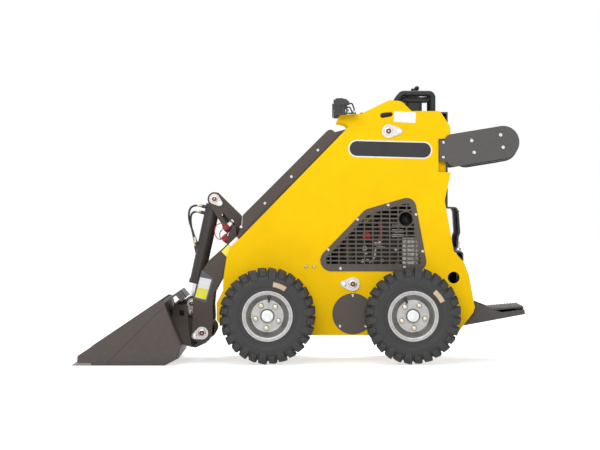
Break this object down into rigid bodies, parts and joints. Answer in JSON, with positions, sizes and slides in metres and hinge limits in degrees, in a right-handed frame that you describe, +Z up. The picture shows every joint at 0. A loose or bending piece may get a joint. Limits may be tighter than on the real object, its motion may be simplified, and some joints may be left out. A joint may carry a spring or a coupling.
{
  "type": "stand-on skid steer loader",
  "caption": "Compact wheeled loader driven from a rear platform, with lift arms, a dirt bucket and hydraulic cylinders.",
  "frame": {"origin": "on the ground, at the middle of the box's length and width", "axes": "+Z up, the bucket toward -X, the operator's platform toward +X, the machine's left side at -Y"},
  "size_m": [2.136, 1.1, 1.32],
  "materials": {
    "yellow_paint": "gloss yellow enamel",
    "frame_grey": "satin dark grey",
    "boom_grey": "satin warm grey",
    "platform_black": "satin black",
    "edge_steel": "bare worn steel",
    "pin_steel": "zinc plated",
    "cylinder_black": "gloss black",
    "rod_chrome": "hard chrome",
    "cover_plastic": "textured black",
    "guard_black": "powder coat",
    "engine_iron": "painted casting",
    "pad_foam": "foam pad",
    "hose_rubber": "hydraulic hose",
    "tyre_rubber": "new rubber",
    "rim_silver": "silver paint"
  },
  "bodies": {
    "frame": {"side_plate_left": "yellow_paint", "side_plate_right": "yellow_paint", "inner_plates": "frame_grey", "chassis_tub": "yellow_paint", "hood": "yellow_paint", "tower_deck": "frame_grey", "console": "cover_plastic", "control_guard": "guard_black", "control_levers": "guard_black", "engine_block": "engine_iron", "engine_fittings": "engine_iron", "rear_cover": "cover_plastic", "muffler": "pin_steel", "grille_left": "frame_grey", "grille_right": "frame_grey", "disc_covers": "frame_grey", "frame_pins": "pin_steel", "axle_housings": "boom_grey", "platform_frame": "platform_black", "platform_tread": "platform_black", "pad_brackets": "frame_grey", "pad_cushion_left": "pad_foam", "pad_cushion_right": "pad_foam", "work_lamps": "cover_plastic"},
    "wheel_front_left": {"tyre_front_left": "tyre_rubber", "rim_front_left": "rim_silver", "hub_front_left": "rim_silver"},
    "wheel_front_right": {"tyre_front_right": "tyre_rubber", "rim_front_right": "rim_silver", "hub_front_right": "rim_silver"},
    "wheel_rear_left": {"tyre_rear_left": "tyre_rubber", "rim_rear_left": "rim_silver", "hub_rear_left": "rim_silver"},
    "wheel_rear_right": {"tyre_rear_right": "tyre_rubber", "rim_rear_right": "rim_silver", "hub_rear_right": "rim_silver"},
    "boom": {"boom_arm_left": "boom_grey", "boom_arm_right": "boom_grey", "boom_cover": "boom_grey", "boom_cross_box": "boom_grey", "boom_cross_tube": "boom_grey", "boom_pins": "pin_steel", "aux_couplers": "pin_steel"},
    "bucket": {"quick_attach": "boom_grey", "rod_pin": "pin_steel", "bucket_shell": "boom_grey", "cutting_edge": "edge_steel"},
    "lift_barrel_left": {"lift_barrel_left": "cylinder_black"},
    "lift_rod_left": {"lift_rod_left": "rod_chrome"},
    "lift_barrel_right": {"lift_barrel_right": "cylinder_black"},
    "lift_rod_right": {"lift_rod_right": "rod_chrome"},
    "tilt_barrel": {"tilt_barrel": "cylinder_black", "tilt_hose_upper": "hose_rubber", "tilt_hose_lower": "hose_rubber"},
    "tilt_rod": {"tilt_rod": "rod_chrome"}
  },
  "joints": [
    {"name": "wheel_front_left_spin", "type": "hinge", "parent": "frame", "child": "wheel_front_left", "pos_m": [-0.153, -0.417, 0.2286], "axis": [0, 1, 0], "continuous": true},
    {"name": "wheel_front_right_spin", "type": "hinge", "parent": "frame", "child": "wheel_front_right", "pos_m": [-0.153, 0.417, 0.2286], "axis": [0, 1, 0], "continuous": true},
    {"name": "wheel_rear_left_spin", "type": "hinge", "parent": "frame", "child": "wheel_rear_left", "pos_m": [0.53, -0.417, 0.2286], "axis": [0, 1, 0], "continuous": true},
    {"name": "wheel_rear_right_spin", "type": "hinge", "parent": "frame", "child": "wheel_rear_right", "pos_m": [0.53, 0.417, 0.2286], "axis": [0, 1, 0], "continuous": true},
    {"name": "boom_lift", "type": "hinge", "parent": "frame", "child": "boom", "pos_m": [0.4197, 0, 1.0989], "axis": [0, 1, 0], "range_deg": [0, 75]},
    {"name": "bucket_tilt", "type": "hinge", "parent": "boom", "child": "bucket", "pos_m": [-0.4653, 0, 0.1415], "axis": [0, 1, 0], "range_deg": [-105, 12]},
    {"name": "lift_barrel_left_swing", "type": "hinge", "parent": "frame", "child": "lift_barrel_left", "pos_m": [0.2505, -0.204, 0.3746], "axis": [0, 1, 0], "range_deg": [0, 5.06]},
    {"name": "lift_rod_left_slide", "type": "slide", "parent": "lift_barrel_left", "child": "lift_rod_left", "axis": [-0.1521, 0, 0.9884], "range_m": [0, 0.36762]},
    {"name": "lift_barrel_right_swing", "type": "hinge", "parent": "frame", "child": "lift_barrel_right", "pos_m": [0.2505, 0.204, 0.3746], "axis": [0, 1, 0], "range_deg": [0, 5.06]},
    {"name": "lift_rod_right_slide", "type": "slide", "parent": "lift_barrel_right", "child": "lift_rod_right", "axis": [-0.1521, 0, 0.9884], "range_m": [0, 0.36762]},
    {"name": "tilt_barrel_swing", "type": "hinge", "parent": "boom", "child": "tilt_barrel", "pos_m": [-0.4117, 0, 0.7774], "axis": [0, 1, 0], "range_deg": [-0.16, 1.04]},
    {"name": "tilt_rod_slide", "type": "slide", "parent": "tilt_barrel", "child": "tilt_rod", "axis": [-0.2105, 0, -0.9776], "range_m": [-0.02669, 0.22964]}
  ],
  "couplings": [
    {"joint": "lift_barrel_left_swing", "follows": "boom_lift", "ratio": 0.066749},
    {"joint": "lift_rod_left_slide", "follows": "boom_lift", "m_per_rad": 0.28046},
    {"joint": "lift_barrel_right_swing", "follows": "boom_lift", "ratio": 0.066749},
    {"joint": "lift_rod_right_slide", "follows": "boom_lift", "m_per_rad": 0.28046},
    {"joint": "tilt_barrel_swing", "follows": "bucket_tilt", "ratio": -0.0094097},
    {"joint": "tilt_rod_slide", "follows": "bucket_tilt", "m_per_rad": -0.12503}
  ]
}
